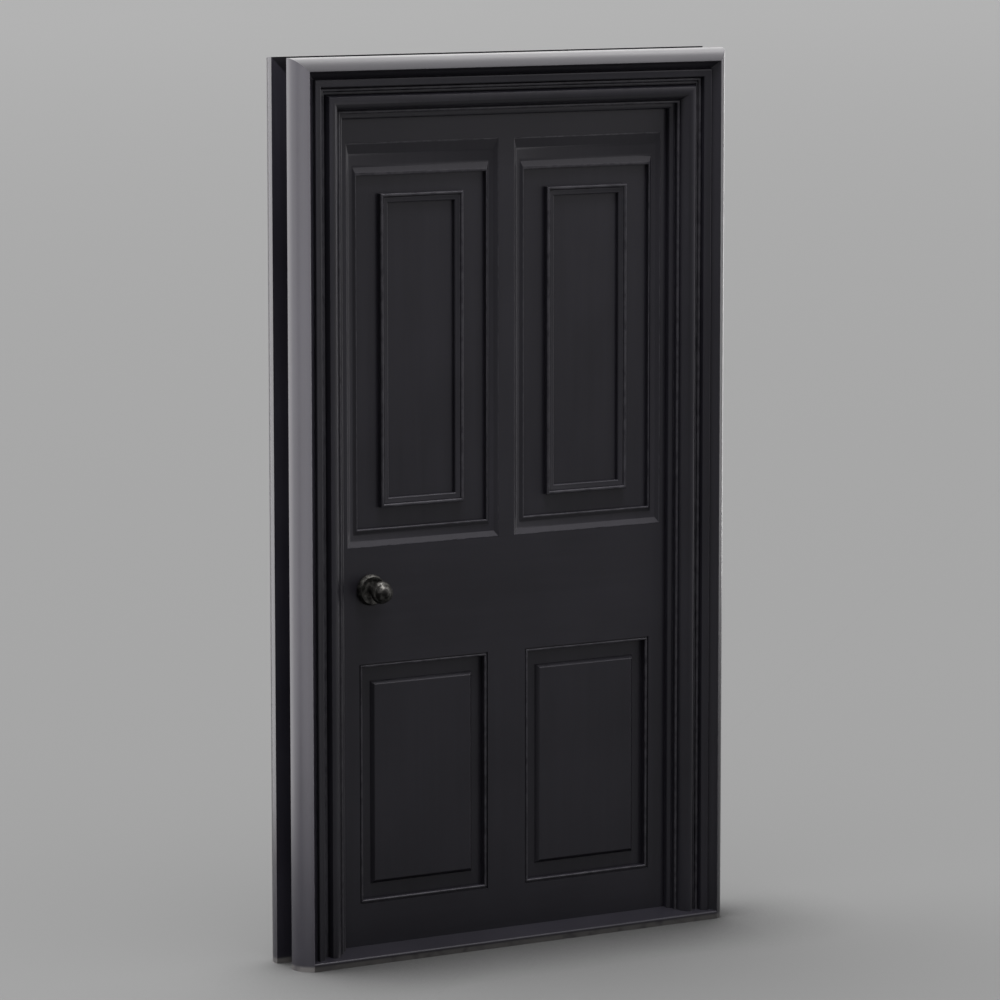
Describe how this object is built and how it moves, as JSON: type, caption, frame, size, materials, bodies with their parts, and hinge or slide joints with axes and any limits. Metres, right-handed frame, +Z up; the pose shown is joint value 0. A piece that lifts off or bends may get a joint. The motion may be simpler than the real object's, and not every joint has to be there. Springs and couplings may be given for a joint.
{
  "type": "panelled door with frame",
  "caption": "Black panelled entrance door hung in a deep moulded frame with casings on both sides, round knobs, spring latch, threshold and butt hinges.",
  "frame": {"origin": "on the floor under the threshold, midway between the jambs and midway between the two wall faces", "axes": "+X towards the hinge jamb, +Y towards the side the leaf opens to, +Z up"},
  "size_m": [1.197, 0.227, 2.1425],
  "materials": {
    "painted_wood": "satin black paint",
    "dark_iron": "aged black",
    "steel": "satin"
  },
  "bodies": {
    "frame": {"latch_jamb": "painted_wood", "hinge_jamb": "painted_wood", "head_jamb": "painted_wood", "threshold": "painted_wood", "latch_stop": "painted_wood", "hinge_stop": "painted_wood", "head_stop": "painted_wood", "front_casing_latch": "painted_wood", "front_casing_hinge": "painted_wood", "front_casing_head": "painted_wood", "front_backband_latch": "painted_wood", "front_backband_hinge": "painted_wood", "front_backband_head": "painted_wood", "rear_casing_latch": "painted_wood", "rear_casing_hinge": "painted_wood", "rear_casing_head": "painted_wood", "rear_backband_latch": "painted_wood", "rear_backband_hinge": "painted_wood", "rear_backband_head": "painted_wood", "strike_plate": "steel", "strike_screws": "steel", "hinge_frame_leaf_upper": "steel", "hinge_frame_leaf_middle": "steel", "hinge_frame_leaf_lower": "steel", "hinge_frame_screws": "steel", "hinge_pins": "steel"},
    "door": {"bottom_rail": "painted_wood", "faceplate_screws": "steel", "front_rose": "dark_iron", "hinge_door_leaf_lower": "steel", "hinge_door_leaf_middle": "steel", "hinge_door_leaf_upper": "steel", "hinge_door_screws": "steel", "hinge_stile": "painted_wood", "inner_bead_hinge": "painted_wood", "inner_bead_latch": "painted_wood", "latch_case": "steel", "latch_faceplate": "steel", "latch_stile": "painted_wood", "lock_rail": "painted_wood", "lower_bead_hinge": "painted_wood", "lower_bead_latch": "painted_wood", "lower_muntin": "painted_wood", "lower_panel_hinge": "painted_wood", "lower_panel_latch": "painted_wood", "rear_panel_beads": "painted_wood", "rear_rose": "dark_iron", "top_rail": "painted_wood", "upper_moulding_hinge": "painted_wood", "upper_moulding_latch": "painted_wood", "upper_muntin": "painted_wood", "upper_panel_hinge": "painted_wood", "upper_panel_latch": "painted_wood"},
    "knob": {"front_knob": "dark_iron", "rear_knob": "dark_iron", "spindle": "steel", "latch_follower": "steel"},
    "latch": {"latch_bolt": "steel"}
  },
  "joints": [
    {"name": "door_swing", "type": "hinge", "parent": "frame", "child": "door", "pos_m": [0.4655, 0.044, 1.0175], "axis": [0, 0, -1], "range_deg": [0, 110]},
    {"name": "knob_turn", "type": "hinge", "parent": "door", "child": "knob", "pos_m": [-0.376, 0.0025, 0.8865], "axis": [0, 1, 0], "range_deg": [0, 60], "stiffness_Nm_per_rad": 0.3, "springref_deg": -34.38},
    {"name": "latch_slide", "type": "slide", "parent": "door", "child": "latch", "axis": [1, 0, 0], "range_m": [0, 0.012]}
  ],
  "couplings": [
    {"joint": "latch_slide", "follows": "knob_turn", "m_per_rad": 0.01145}
  ]
}
